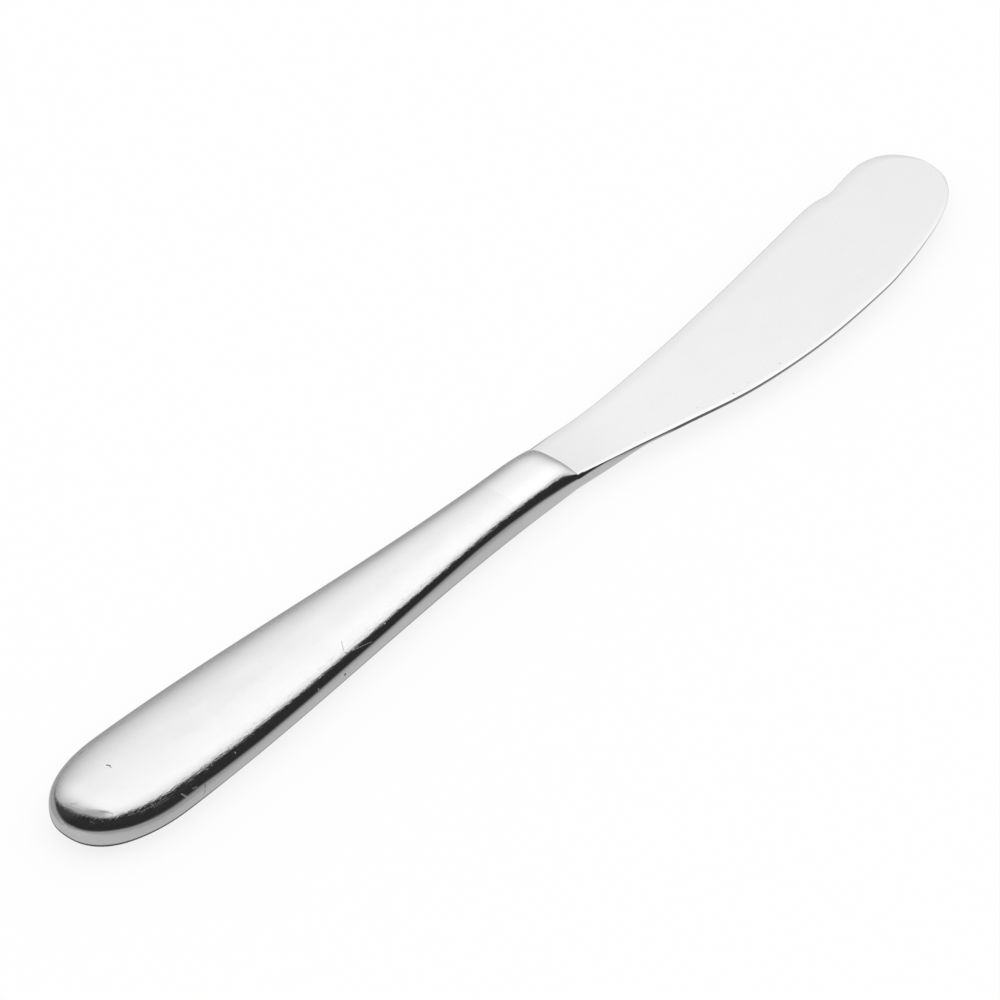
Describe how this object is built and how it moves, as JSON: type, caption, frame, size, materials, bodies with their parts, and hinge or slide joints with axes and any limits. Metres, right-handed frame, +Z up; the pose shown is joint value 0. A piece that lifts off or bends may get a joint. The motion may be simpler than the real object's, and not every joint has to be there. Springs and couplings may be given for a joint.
{
  "type": "butter knife",
  "caption": "Polished steel butter knife with a rounded hollow handle, a soft shoulder and a broad round-tipped spreading blade with a dip in its back.",
  "frame": {"origin": "on the resting flat under the handle, on the knife's middle line, under the middle of the shoulder where the handle ends and the blade begins", "axes": "+X along the knife from the handle's butt to the blade's tip, +Y towards the blunt back of the blade, +Z up from the table"},
  "size_m": [0.1706, 0.0208, 0.0052],
  "materials": {
    "blade_steel": "polished stainless steel with faint wear specks",
    "handle_steel": "mirror polished stainless steel with fine use scratches and a few nicks",
    "filler_cement": "set handle cement, matt and grainy",
    "braze_alloy": "silver brazing alloy, polished flush with the steel"
  },
  "bodies": {
    "root": {"blade": "blade_steel", "handle_upper_shell": "handle_steel", "handle_lower_shell": "handle_steel", "handle_filler": "filler_cement", "seam_braze": "braze_alloy", "mouth_braze": "braze_alloy"}
  },
  "joints": []
}
